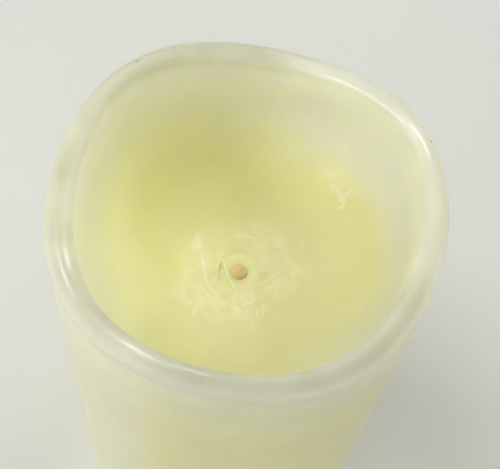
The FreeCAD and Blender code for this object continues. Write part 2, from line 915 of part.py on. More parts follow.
def controller_blob():
    """Black epoxy over the bare chip that makes the flicker and the timer."""
    top = D.board_low + D.board_thickness
    blob = primitive("Ellipsoid", "blob_whole", (0, 8.5, top), Radius1=1.6, Radius2=4.0, Radius3=4.0)
    below = cylinder("blob_below", 5, 2, (0, 8.5, top - 2))
    return cut("controller_blob", blob, below)


def timing_crystal():
    top = D.board_low + D.board_thickness
    can = cylinder("timing_crystal", 1.0, 6.0, (-12.0, 11.5, top + 1.0))
    can.Placement.Rotation = Rotation(Vector(0, 1, 0), 90)
    return can


def capacitor():
    """Small electrolytic: rolled can with a groove near its foot."""
    top = D.board_low + D.board_thickness
    return turned(
        "capacitor",
        [
            (0, top),
            (2.5, top),
            (2.5, top + 1.2),
            (2.25, top + 1.5),
            (2.5, top + 1.8),
            (2.5, top + 10.6),
            (2.2, top + 11.0),
            (0, top + 11.0),
        ],
        (10.5, 14.0, 0),
    )


def resistor():
    """Axial resistor lying on the board, with bulged ends and its two leads."""
    top = D.board_low + D.board_thickness
    outline = [
        (0, -3.6), (0.25, -3.6), (0.25, -1.8), (0.8, -1.7), (0.9, -1.2), (0.7, -0.8),
        (0.7, 0.8), (0.9, 1.2), (0.8, 1.7), (0.25, 1.8), (0.25, 3.6), (0, 3.6),
    ]
    item = turned("resistor", outline, (-7.0, 17.5, top + 0.9))
    item.Placement.Rotation = Rotation(Vector(1, 0, 0), 90)
    return item


def solder_joints(pins):
    """Cones of solder at the four wires and the four switch pins."""
    top = D.board_low + D.board_thickness
    wires = [
        cone("wire_joint_" + word, D.joint_radius, D.wire_radius, D.joint_height, (x, D.pad_row_y, top))
        for word, x in wire_pads()
    ]
    legs = [
        cut(f"pin_joint_{i}", cone(f"pin_cone_{i}", 0.9, 0.45, 0.8, (x, D.switch_y, top)), pins)
        for i, x in switch_pin_places()
    ]
    return group("solder_joints", wires + legs)


# ---------------------------------------------------------------- slide switch


def switch_can():
    """Steel can, open towards the board, with the stem's slot in its lower face."""
    middle = (0, D.switch_y)
    outside = box("can_outside", D.can_length, D.can_width, D.can_height, middle, D.can_low)
    inside = box(
        "can_inside", D.can_length - 2 * D.can_wall, D.can_width - 2 * D.can_wall, D.can_height - D.can_wall,
        middle, D.can_low + D.can_wall,
    )
    slot = box(
        "can_slot", D.knob_travel + D.knob_stem_length + 2 * D.knob_play, D.knob_stem_width + 2 * D.knob_play,
        D.can_wall, middle, D.can_low,
    )
    return cut("switch_can", outside, inside, slot)


def switch_pins():
    low = D.can_low + D.can_height - 0.6
    return group(
        "switch_pins",
        [
            box(f"switch_pin_{i}", D.pin_width, D.pin_width, D.pin_top_height - low, (x, D.switch_y), low)
            for i, x in switch_pin_places()
        ],
    )


def switch_wafer(pins):
    low = D.can_low + D.can_height
    wafer = box(
        "wafer_blank", D.can_length, D.can_width, D.board_low - low, (0, D.switch_y), low
    )
    return cut("switch_wafer", wafer, pins)


def switch_knob():
    """Sliding knob at its off end: ribbed cap outside, stem, and foot inside the can."""
    x = -D.knob_travel / 2
    middle = (x, D.switch_y)
    cap_top = D.knob_low + D.knob_cap
    cap = box("knob_cap", D.knob_length, D.knob_width, D.knob_cap, middle, D.knob_low)
    stem = box(
        "knob_stem", D.knob_stem_length, D.knob_stem_width, D.knob_foot_height - cap_top, middle, cap_top
    )
    foot = box("knob_foot", 5, D.can_width - 2, D.knob_foot, middle, D.knob_foot_height)
    ribs = [
        box(f"knob_rib_{i}", 0.35, D.knob_width, 0.35, (x + (i - 2) * 0.95, D.switch_y), D.knob_low)
        for i in range(5)
    ]
    return cut("switch_knob", fuse("knob_solid", cap, stem, foot), *ribs)


# ---------------------------------------------------------------- wires


def wires():
    """Insulated wires: two from the board up to the LED's leads, two from the roof contacts to the board."""
    radius = D.wire_radius.number
    pad_y = D.pad_row_y.number
    pad_top = (D.board_low + D.board_thickness + D.joint_height).number
    tab_y = (D.contact_width / 2 - D.cell_row_offset).number
    tab_middle = D.tab_top_height.number - 1
    lead_end = D.lead_end_height.number
    made = []
    for colour, side in (("red", -1), ("black", 1)):
        x_pad, x_lead = side * D.led_pad_x.number, side * D.lead_spread.number
        route = [(x_pad, pad_y, pad_top), (x_pad, pad_y, 36), (x_lead, 0, 57), (x_lead, 0, lead_end)]
        made.append(wire_tube("led_wire_" + colour, route, [14, 16], radius))
        x_tab, x_pad = side * D.cell_half_pitch.number, side * D.battery_pad_x.number
        route = [
            (x_tab, tab_y, tab_middle),
            (x_tab, tab_y + 7, tab_middle),
            (x_pad, pad_y, tab_middle),
            (x_pad, pad_y, pad_top),
        ]
        made.append(wire_tube("battery_wire_" + colour, route, [10, 12], radius))
    return made


# ---------------------------------------------------------------- the whole


def check(items):
    doc.recompute()
    bad = [o.Name for o in doc.Objects if "Invalid" in o.State or "Error" in o.State]
    if bad:
        raise RuntimeError(f"failed objects: {bad}")
    for item in items:
        shape = item.Shape
        if shape.isNull() or not shape.isValid() or not shape.Solids:
            raise RuntimeError(f"{item.Label} has no valid solid")


def build():
    fill_sheet()
    leads = led_leads()
    pins = switch_pins()
    return [
        wax_shell(),
        wax_plug(),
        leads,
        led_body(leads),
        led_glue(leads),
        lead_sleeves(),
        module_base(),
        battery_door(),
        module_cover(),
        cover_screws(),
        base_glue_ring(),
        wire_grommet(),
        *battery("battery_a", -1, True, D.cell_up_height),
        *battery("battery_b", 1, False, D.cell_down_height),
        roof_contact("positive_contact", -1, True),
        roof_contact("negative_contact", 1, False),
        bridge_contact(),
        *springs(),
        circuit_board(),
        board_screws(),
        controller_blob(),
        timing_crystal(),
        capacitor(),
        resistor(),
        pins,
        solder_joints(pins),
        switch_can(),
        switch_wafer(pins),
        switch_knob(),
        *wires(),
    ]


def export(items):
    os.makedirs("parts", exist_ok=True)
    for item in items:
        item.Shape.exportStep(f"parts/{item.Label}.step")
        solids = item.Shape.Solids
        print(f"{item.Label}: {len(solids)} solid(s), {sum(s.Volume for s in solids):.2f} mm3")


sub_parts = build()
check(sub_parts)
export(sub_parts)
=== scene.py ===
"""The look of a flameless LED pillar candle: ivory wax with a melted, wavy rim round a deep bowl,
a small amber LED in a plug of re-melted wax at the bowl's centre, and a moulded battery module below."""

import math

import bpy
import numpy as np
from mathutils import Matrix, Vector, noise


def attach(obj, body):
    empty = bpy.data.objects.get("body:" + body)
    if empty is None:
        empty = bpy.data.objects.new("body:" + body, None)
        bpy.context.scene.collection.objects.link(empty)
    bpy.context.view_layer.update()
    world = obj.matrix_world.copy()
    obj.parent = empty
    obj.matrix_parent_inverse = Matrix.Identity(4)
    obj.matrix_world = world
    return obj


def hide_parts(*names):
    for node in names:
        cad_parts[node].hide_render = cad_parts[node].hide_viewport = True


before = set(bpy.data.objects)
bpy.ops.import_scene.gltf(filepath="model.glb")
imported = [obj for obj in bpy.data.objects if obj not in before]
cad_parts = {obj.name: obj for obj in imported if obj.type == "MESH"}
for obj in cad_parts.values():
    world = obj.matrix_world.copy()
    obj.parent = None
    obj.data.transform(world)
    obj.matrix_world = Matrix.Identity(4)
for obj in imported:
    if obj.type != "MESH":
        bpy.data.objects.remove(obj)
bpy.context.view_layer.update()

MM = 0.001
TAU = 2 * math.pi

# ---------------------------------------------------------------- sizes, in millimetres

CANDLE_R = 38.0
RIM_MEAN = 148.0
RIM_ROUND_OUT = 2.7
RIM_ROUND_IN = 2.3
MOUTH_R = 33.0
BOWL_BASE_R = 30.0
BOWL_FLOOR = 117.0
BOWL_ROUND = 22.0
PLUG_R = 4.25
SEAM = 0.08
CAVITY_R = 33.0
CAVITY_ROOF = 108.0
CAVITY_ROUND = 8.0
REBATE_R = 35.0
REBATE_TOP = 3.6
FOOT_CHAMFER = 0.8
# play between the plug and its hole, and between the LED and the plug
PLUG_GAP = 0.01
LED_GAP = 0.02
# swells of the melted rim: crests to the turn, height, angle of a crest in degrees
SWELLS = [(1, 1.2, 58), (2, 0.8, 70), (3, 3.5, 20)]
# slope of the bowl's wall, from the base of the bowl to its mouth
DRAFT = (MOUTH_R - BOWL_BASE_R) / (RIM_MEAN - BOWL_FLOOR)
DRAFT_ANGLE = math.atan(DRAFT)
# points round the wax and round the plug
WAX_SIDES = 384
PLUG_SIDES = 160


# ---------------------------------------------------------------- small tools


def smooth(low, high, x):
    """0 at low and beyond it, rising softly to 1 at high. Low may be the larger of the two."""
    t = np.clip((x - low) / (high - low), 0, 1)
    return t * t * (3 - 2 * t)


def fbm(x, y, z, scale, octaves=3, seed=0.0):
    """Fractal noise about 0 at a point in millimetres, features about scale millimetres apart."""
    point = Vector((x / scale + 17.3 * seed, y / scale - 9.1 * seed, z / scale + 4.7 * seed))
    return noise.fractal(point, 1.0, 2.0, octaves)


def new_mesh(name, vertices, faces):
    """An object with a smoothly shaded mesh, places in metres."""
    mesh = bpy.data.meshes.new(name)
    mesh.from_pydata([tuple(v) for v in vertices], [], faces)
    mesh.validate()
    mesh.polygons.foreach_set("use_smooth", [True] * len(mesh.polygons))
    mesh.update()
    item = bpy.data.objects.new(name, mesh)
    bpy.context.scene.collection.objects.link(item)
    return item


def loop_lattice(name, rings):
    """A closed surface from rings of points about +Z, each ring an array of (count, 3) in millimetres."""
    rings = np.array(rings) * MM
    count = rings.shape[1]
    faces = []
    for i in range(len(rings)):
        low, high = i * count, ((i + 1) % len(rings)) * count
        for j in range(count):
            k = (j + 1) % count
            faces.append((low + j, low + k, high + k, high + j))
    return new_mesh(name, rings.reshape(-1, 3), faces)


# ---------------------------------------------------------------- shape of the wax


def rim_height(phi):
    """Height of the rim's crest line at an angle about +Z."""
    wave = sum(h * np.cos(n * (phi - math.radians(a))) for n, h, a in SWELLS)
    return RIM_MEAN + wave


def hump(phi, middle, half_width):
    """1 at an angle in degrees, falling softly to 0 at half_width degrees to either side."""
    away = np.abs((np.degrees(phi) - middle + 180) % 360 - 180)
    return 1 - smooth(0.45 * half_width, half_width, away)


def rim_squareness(phi):
    """How square the rim's inner shoulder is: 2 is a quarter circle, and a crisp edge is more."""
    return 2.2 + 4.0 * hump(phi, 56, 34) + 0.9 * hump(phi, 175, 40)


# stretches of the rim that set smooth: direction and reach in degrees
GLINTS = [(50, 34), (20, 18), (201, 17), (252, 22)]


def rim_gloss(phi):
    """Where along the rim the wax set smooth enough to glint."""
    return np.maximum.reduce([hump(phi, at, wide) for at, wide in GLINTS])


def seam_share(phi):
    """How far the groove round the plug is open: all on the left, a quarter elsewhere."""
    return 0.25 + 0.75 * hump(phi, 185, 120)


def wall_inner(z):
    """Radius of the bowl's drafted wall."""
    return BOWL_BASE_R + DRAFT * (z - BOWL_FLOOR)


ROUND_Z = BOWL_FLOOR + BOWL_ROUND
ROUND_R = wall_inner(ROUND_Z) - BOWL_ROUND / math.cos(DRAFT_ANGLE)

# Marks in the wax round the plug, made when the hole was cut and the wax melted back: each a run of points
# in millimetres from the axis, the half width, and the height above the floor (below it where negative).
STROKES = [
    ([(-9.8, 7.6), (-8.4, 4.0), (-7.5, 0.8), (-6.6, -2.6), (-5.9, -4.4)], 0.30, 0.34),
    ([(-9.1, 7.0), (-7.9, 3.4), (-6.9, -0.2)], 0.22, -0.22),
    ([(2.6, -3.9), (3.3, -5.0), (3.9, -6.2), (2.8, -7.0), (1.4, -7.7)], 0.27, 0.42),
    ([(0.2, -7.9), (0.9, -8.8), (1.3, -9.6)], 0.24, 0.34),
    ([(-0.9, -7.6), (-0.3, -8.7)], 0.22, 0.30),
    ([(7.9, 0.6), (6.6, -1.0), (4.9, -2.7)], 0.28, 0.42),
    ([(8.3, 1.1), (8.1, 0.2)], 0.22, 0.30),
    ([(11.5, 1.4), (11.2, 0.3)], 0.30, 0.30),
    ([(12.4, 9.2), (12.6, 7.6), (12.5, 6.3)], 0.22, 0.34),
    ([(7.0, 8.7), (7.7, 7.3), (8.5, 6.3)], 0.24, 0.28),
    ([(2.1, 12.2), (1.2, 10.6)], 0.18, -0.2),
    ([(-10.4, 4.6), (-9.6, 7.4)], 0.34, 0.28),
    ([(-12.2, -0.4), (-10.9, -2.4), (-10.0, -4.2)], 0.30, 0.26),
    ([(-11.2, -3.6), (-11.0, -6.4)], 0.30, 0.24),
    ([(-9.2, -2.6), (-8.2, -5.2), (-6.8, -7.0)], 0.26, -0.22),
    ([(-7.6, -3.6), (-6.6, -5.6), (-5.2, -7.0)], 0.30, 0.36),
    ([(-5.9, -3.4), (-4.6, -5.4), (-3.6, -6.2)], 0.22, 0.22),
    ([(-4.6, -8.8), (-2.9, -9.4)], 0.34, 0.34),
    ([(-4.2, -10.2), (-2.6, -10.9)], 0.30, 0.30),
    ([(-4.6, -11.8), (-3.6, -12.4)], 0.28, 0.30),
    ([(4.6, -8.2), (5.0, -10.0)], 0.22, 0.22),
    ([(5.8, -6.6), (5.9, -9.4)], 0.20, 0.18),
    ([(9.6, 3.4), (9.3, 5.6)], 0.18, 0.20),
    ([(10.0, 3.2), (12.4, 3.3)], 0.18, 0.16),
    ([(-2.4, 8.2), (0.4, 8.5), (3.0, 8.0)], 0.20, 0.12),
    ([(4.0, -11.8), (4.4, -12.4)], 0.30, 0.22),
    ([(-7.8, -9.4), (-8.3, -11.0)], 0.30, 0.18),
    ([(17.0, 19.6), (18.1, 18.6), (19.4, 17.3)], 0.34, 0.30),
    ([(20.0, 16.4), (20.6, 17.4), (21.6, 17.9)], 0.30, 0.30),
    ([(19.0, 14.8), (19.8, 15.1), (20.5, 15.6)], 0.28, 0.30),
    ([(19.2, 17.0), (20.1, 16.2)], 0.36, 0.26),
    ([(16.2, 21.6), (17.2, 20.6)], 0.30, 0.16),
]
# how much wider and how much lower the marks have melted than they were made
STROKE_WIDEN, STROKE_LIFT = 1.2, 0.42
# mean radius of the scraped patch round the plug
SCRAPE_R = 12.6
# soft dents in the floor: x, y, reach, depth, and how much painted shade darkens them
DENTS = [(5.5, -0.1, 1.0, 0.12, 0.28), (-5.2, -1.0, 0.9, 0.08, 0.12), (0.6, -5.6, 0.9, 0.06, 0.10)]
# smooth spot low on the bowl's wall: x, y
SPOT = (18.6, 18.4)
# dark specks caught in the rim: x, y, z and radius
SPECKS = [
    (32.9, 15.9, 151.8, 0.32),
    (31.3, 18.9, 151.5, 0.24),
    (-24.3, 26.5, 150.8, 0.40),
    (-27.2, 22.6, 150.6, 0.24),
]
# painted light and shade in patches on the bowl (darker at the back and front right, paler on the left and
# right-back, and a painted highlight low on the right-back wall by the marks): direction in degrees, depth
# below the crest, reach in degrees and in millimetres, and how much paler (or darker, where negative) the wax
# is painted there
PAINTED_LIGHT_PATCHES = [
    (310, 22, 48, 14, -0.035),
    (158, 24, 26, 7, 0.085),
    (97, 24, 20, 8, -0.055),
    (50, 19, 28, 8, 0.055),
    (50, 25, 10, 4, 0.07),
]
# depth below the crest at which the colours reach the end of their ramps
DEPTH_SPAN = 36.0


def stroke_lift(x, y):
    """Height that the marks add to the floor at points x, y, and how strongly a mark shows there."""
    lift, shows = np.zeros_like(x), np.zeros_like(x)
    for points, half, height in STROKES:
        nearest = np.full_like(x, 1e9)
        total = sum(math.dist(a, b) for a, b in zip(points, points[1:]))
        run = 0.0
        along = np.zeros_like(x)
        for a, b in zip(points, points[1:]):
            length = math.dist(a, b)
            ux, uy = (b[0] - a[0]) / length, (b[1] - a[1]) / length
            t = np.clip((x - a[0]) * ux + (y - a[1]) * uy, 0, length)
            gap = np.hypot(x - a[0] - t * ux, y - a[1] - t * uy)
            along = np.where(gap < nearest, (run + t) / total, along)
            nearest = np.minimum(nearest, gap)
            run += length
        taper = 0.55 + 0.45 * np.sin(np.clip(along, 0.04, 0.96) * math.pi)
        section = np.exp(-((nearest / (half * taper * STROKE_WIDEN)) ** 2))
        lift += STROKE_LIFT * height * section * taper
        shows = np.maximum(shows, section if height > 0 else 0.45 * section)
    return lift, shows


def dents_at(x, y):
    """How deep the soft dents are at points x, y, and how much painted shade darkens them there."""
    deep, dark = np.zeros_like(x), np.zeros_like(x)
    for at_x, at_y, reach, depth, shade in DENTS:
        near = np.exp(-((x - at_x) ** 2 + (y - at_y) ** 2) / reach**2)
        deep += depth * near
        dark += shade * near
    return deep, dark


def scrape_mask(x, y):
    """How far a point lies inside the irregular patch of scraped and re-melted wax."""
    r, phi = np.hypot(x, y), np.arctan2(y, x)
    edge = SCRAPE_R + 1.1 * np.sin(2 * phi + 0.4) + 0.7 * np.sin(5 * phi + 1.9) + 0.5 * np.sin(9 * phi)
    return 1 - smooth(edge - 1.8, edge + 0.8, r)


def ring_noise(points, scale, octaves, seed):
    """Fractal noise at each point of a ring."""
    return np.array([fbm(*p, scale, octaves, seed) for p in points])


def quarter(count, first=1):
    """Angles of a quarter turn in equal steps."""
    return [i / count * math.pi / 2 for i in range(first, count + 1)]


def wax_profile(phi):
    """Rings of the closed wax surface: from the foot up the outside, over the rim, down the bowl, through
    the plug's hole and round the hollow below. Also returns where the bowl begins and ends among them."""
    cos, sin = np.cos(phi), np.sin(phi)
    crest = rim_height(phi)
    rings = []

    def ring(r, z):
        r, z = r + np.zeros_like(phi), z + np.zeros_like(phi)
        rings.append(np.stack([r * cos, r * sin, z], axis=1))

    def outside(z):
        """Outer radius, never beyond the nominal: a slight neck below the rim, and a soft unevenness."""
        below = crest - z
        neck = 0.45 * np.exp(-(((below - 7.0) / 5.0) ** 2))
        uneven = 0.09 + 0.07 * np.sin(3 * phi + 0.05 * z) + 0.02 * np.sin(7 * phi - 0.09 * z)
        return CANDLE_R - neck - uneven * smooth(0, 6, z)

    ring(REBATE_R, 0.0)
    ring(CANDLE_R - FOOT_CHAMFER, 0.0)
    for turn in quarter(4):
        ring(
            CANDLE_R - FOOT_CHAMFER + FOOT_CHAMFER * math.sin(turn) - 0.05,
            FOOT_CHAMFER - FOOT_CHAMFER * math.cos(turn),
        )
    lip_low = crest - RIM_ROUND_OUT
    steps = 84
    for i in range(1, steps):
        t = 1 - (1 - i / steps) ** 1.5
        z = FOOT_CHAMFER + (lip_low - FOOT_CHAMFER) * t
        ring(outside(z), z)
    lip = outside(lip_low)
    for turn in quarter(12, first=0):
        ring(lip - RIM_ROUND_OUT * (1 - math.cos(turn)), lip_low + RIM_ROUND_OUT * math.sin(turn))
    top_in = lip - RIM_ROUND_OUT
    edge_in = wall_inner(crest - RIM_ROUND_IN)
    reach = top_in - edge_in
    square = 2 / rim_squareness(phi)
    for turn in quarter(20):
        drop = 1 - abs(math.cos(turn)) ** square
        ring(edge_in + reach * (1 - math.sin(turn) ** square), crest - RIM_ROUND_IN * drop)
    # the bowl's unevenness sets in on the rim's inner shoulder
    bowl_first = len(rings) - 8
    wall_top = crest - RIM_ROUND_IN
    steps = 16
    for i in range(1, steps + 1):
        z = wall_top + (ROUND_Z - wall_top) * i / steps
        ring(wall_inner(z), z)
    steps = 52
    sweep = math.pi / 2 - DRAFT_ANGLE
    for i in range(1, steps + 1):
        angle = -DRAFT_ANGLE - sweep * i / steps
        ring(ROUND_R + BOWL_ROUND * math.cos(angle), ROUND_Z + BOWL_ROUND * math.sin(angle))
    steps = 26
    seam = SEAM * seam_share(phi)
    hole = PLUG_R + PLUG_GAP
    for i in range(1, steps + 1):
        ring(ROUND_R + (hole + seam - ROUND_R) * i / steps, BOWL_FLOOR)
    bowl_last = len(rings)
    for turn in quarter(3):
        ring(hole + seam * (1 - math.sin(turn)), BOWL_FLOOR - seam * (1 - math.cos(turn)))
    for t in (0.01, 0.15, 0.5, 1.0):
        ring(hole, BOWL_FLOOR - seam + (CAVITY_ROOF - BOWL_FLOOR + seam) * t)
    for t in (0.33, 0.66, 1.0):
        ring(PLUG_R + (CAVITY_R - CAVITY_ROUND - PLUG_R) * t, CAVITY_ROOF)
    for turn in quarter(6):
        ring(
            CAVITY_R - CAVITY_ROUND * (1 - math.sin(turn)),
            CAVITY_ROOF - CAVITY_ROUND * (1 - math.cos(turn)),
        )
    for t in (0.25, 0.5, 0.75, 1.0):
        ring(CAVITY_R, CAVITY_ROOF - CAVITY_ROUND + (REBATE_TOP - CAVITY_ROOF + CAVITY_ROUND) * t)
    ring(REBATE_R, REBATE_TOP)
    return rings, bowl_first, bowl_last


def shape_bowl(rings, first, last):
    """Gives the bowl its soft melted unevenness, the scraped patch and the marks round the plug."""
    for i in range(first, last):
        points = rings[i]
        x, y, _ = points.T
        r = np.hypot(x, y)
        soft = 0.35 * ring_noise(points, 26.0, 2, 1)
        drips = 0.12 * ring_noise(points * np.array([1, 1, 0.45]), 9.0, 2, 2)
        fade = smooth(first, first + 14, i) * smooth(PLUG_R, PLUG_R + 3.0, r)
        push = (soft + drips) * fade
        inward = np.clip((r - ROUND_R) / (BOWL_BASE_R - ROUND_R), 0, 1)
        patch = scrape_mask(x, y)
        lift = stroke_lift(x, y)[0] - dents_at(x, y)[0]
        grain = ring_noise(points, 1.7, 3, 3) * 0.10 + ring_noise(points, 4.6, 2, 4) * 0.16
        up = push * (1 - 0.6 * inward) + patch * grain * smooth(PLUG_R, PLUG_R + 0.6, r) + lift
        points[:, 0] -= push * inward * x / np.maximum(r, 1)
        points[:, 1] -= push * inward * y / np.maximum(r, 1)
        points[:, 2] += up * (1 - 0.75 * smooth(26, 32, r))


def shape_rim(rings, first, last):
    """Small dents and ripples along the rim, always inwards."""
    for i in range(first, last):
        points = rings[i]
        r = np.hypot(points[:, 0], points[:, 1])
        dents = 0.16 + 0.16 * ring_noise(points, 7.0, 3, 5)
        weight = math.sin(math.pi * (i - first + 0.5) / (last - first))
        points[:, 2] -= np.clip(dents, 0, None) * weight
        points[:, :2] *= (1 - 0.05 * dents * weight / r)[:, None]


def make_wax():
    rings, first, last = wax_profile(np.linspace(0, TAU, WAX_SIDES, endpoint=False))
    # the ripples run over the rim's round, from low on its outer side to low on its inner side
    shape_rim(rings, first - 22, first + 4)
    shape_bowl(rings, first, last)
    return loop_lattice("wax_pillar", rings)


# ---------------------------------------------------------------- materials


class Nodes:
    """A material with a Principled shader, and short ways to add nodes to it."""

    def __init__(self, name):
        self.material = bpy.data.materials.new(name)
        self.material.use_nodes = True
        self.tree = self.material.node_tree
        self.shader = self.tree.nodes["Principled BSDF"]

    def add(self, kind, **settings):
        node = self.tree.nodes.new(kind)
        for key, value in settings.items():
            if key in node.inputs:
                node.inputs[key].default_value = value
            else:
                setattr(node, key, value)
        return node

    def link(self, source, target):
        self.tree.links.new(source, target)

    def set(self, **values):
        for key, value in values.items():
            self.shader.inputs[key.replace("_", " ")].default_value = value

    def position(self):
        """Position on the object in millimetres."""
        where = self.add("ShaderNodeTexCoord")
        scaled = self.add("ShaderNodeVectorMath", operation="SCALE")
        scaled.inputs["Scale"].default_value = 1 / MM
        self.link(where.outputs["Object"], scaled.inputs[0])
        return scaled.outputs[0]

    def noise(self, vector, size, detail=3.0, rough=0.55):
        """Noise from 0 to 1 whose features are about size millimetres apart."""
        node = self.add("ShaderNodeTexNoise", Scale=1.0 / size, Detail=detail, Roughness=rough)
        self.link(vector, node.inputs["Vector"])
        return node.outputs["Fac"]

    def ramp(self, source, stops):
        node = self.add("ShaderNodeValToRGB")
        elements = node.color_ramp.elements
        while len(elements) < len(stops):
            elements.new(0.5)
        for element, (at, color) in zip(elements, stops):
            element.position = at
            element.color = (*color, 1)
        self.link(source, node.inputs["Fac"])
        return node.outputs["Color"]

    def spread(self, source, low, high, out_low=0.0, out_high=1.0):
        """Takes low to out_low and high to out_high, softly between them and level beyond."""
        node = self.add("ShaderNodeMapRange", interpolation_type="SMOOTHSTEP")
        ends = {"From Min": low, "From Max": high, "To Min": out_low, "To Max": out_high}
        for socket, value in ends.items():
            node.inputs[socket].default_value = value
        self.link(source, node.inputs["Value"])
        return node.outputs["Result"]

    def math(self, operation, a, b):
        node = self.add("ShaderNodeMath", operation=operation)
        for socket, value in zip(node.inputs, (a, b)):
            if isinstance(value, (int, float)):
                socket.default_value = value
            else:
                self.link(value, socket)
        return node.outputs[0]

    def mix(self, factor, a, b, blend="MIX"):
        node = self.add("ShaderNodeMix", data_type="RGBA", blend_type=blend)
        for socket, value in ((node.inputs[0], factor), (node.inputs[6], a), (node.inputs[7], b)):
            if isinstance(value, (int, float)):
                socket.default_value = value
            elif isinstance(value, tuple):
                socket.default_value = (*value, 1)
            else:
                self.link(value, socket)
        return node.outputs[2]

    def flecks(self, vector, size, share, low=0.08, high=0.16):
        """1 in sparse round flecks, about one per size millimetres of which a share is kept, 0 elsewhere."""
        cells = self.add("ShaderNodeTexVoronoi", Scale=1.0 / size)
        self.link(vector, cells.inputs["Vector"])
        kept = self.math("LESS_THAN", self.channel(cells.outputs["Color"], 0), share)
        return self.math("MULTIPLY", self.spread(cells.outputs["Distance"], low, high, 1.0, 0.0), kept)

    def channel(self, color, index):
        node = self.add("ShaderNodeSeparateColor")
        self.link(color, node.inputs[0])
        return node.outputs[index]

    def axis(self, vector, index):
        node = self.add("ShaderNodeSeparateXYZ")
        self.link(vector, node.inputs[0])
        return node.outputs[index]

    def stretched(self, vector, scale):
        node = self.add("ShaderNodeVectorMath", operation="MULTIPLY")
        node.inputs[1].default_value = scale
        self.link(vector, node.inputs[0])
        return node.outputs[0]

    def away(self, vector, point, scale=(1, 1, 1)):
        """Distance in millimetres from a point, after each direction is scaled."""
        node = self.add("ShaderNodeVectorMath", operation="DISTANCE")
        node.inputs[1].default_value = tuple(p * k for p, k in zip(point, scale))
        self.link(self.stretched(vector, scale), node.inputs[0])
        return node.outputs["Value"]

    def attribute(self, name):
        return self.add("ShaderNodeAttribute", attribute_name=name).outputs["Fac"]

    def bump(self, height, distance_mm, strength=1.0):
        node = self.add("ShaderNodeBump", Strength=strength, Distance=distance_mm * MM)
        self.link(height, node.inputs["Height"])
        self.link(node.outputs["Normal"], self.shader.inputs["Normal"])


# colours of the wax by depth, as a share of DEPTH_SPAN: in the bowl, and down the outside; the darker grey at
# the crest end is partly painted shade on the rim's shoulders
BOWL_STOPS = [
    (0.0, (0.575, 0.579, 0.440)),
    (0.061, (0.775, 0.780, 0.650)),
    (0.125, (0.872, 0.871, 0.764)),
    (0.25, (0.890, 0.889, 0.725)),
    (0.472, (0.868, 0.858, 0.570)),
    (0.75, (0.812, 0.790, 0.390)),
    (0.889, (0.821, 0.797, 0.415)),
]
SIDE_STOPS = [
    (0.0, (0.655, 0.652, 0.525)),
    (0.045, (0.715, 0.712, 0.575)),
    (0.115, (0.798, 0.795, 0.628)),
    (0.167, (0.813, 0.809, 0.612)),
    (0.333, (0.812, 0.811, 0.560)),
    (0.833, (0.800, 0.785, 0.450)),
]
# tints of the re-melted patch (green, plain, pink), the marks and the specks; hollow is the colour of painted
# shade in the dents and round the LED, and pale of painted light on a stretch of rim
MARKS = {
    "green": (0.77, 0.80, 0.46),
    "plain": (0.82, 0.80, 0.46),
    "pink": (0.82, 0.755, 0.48),
    "mark": (0.92, 0.92, 0.70),
    "hollow": (0.60, 0.55, 0.24),
    "pale": (0.82, 0.83, 0.71),
    "speck": (0.22, 0.20, 0.12),
}
# least roughness of the wax, where it glints
GLINT_ROUGH = 0.285


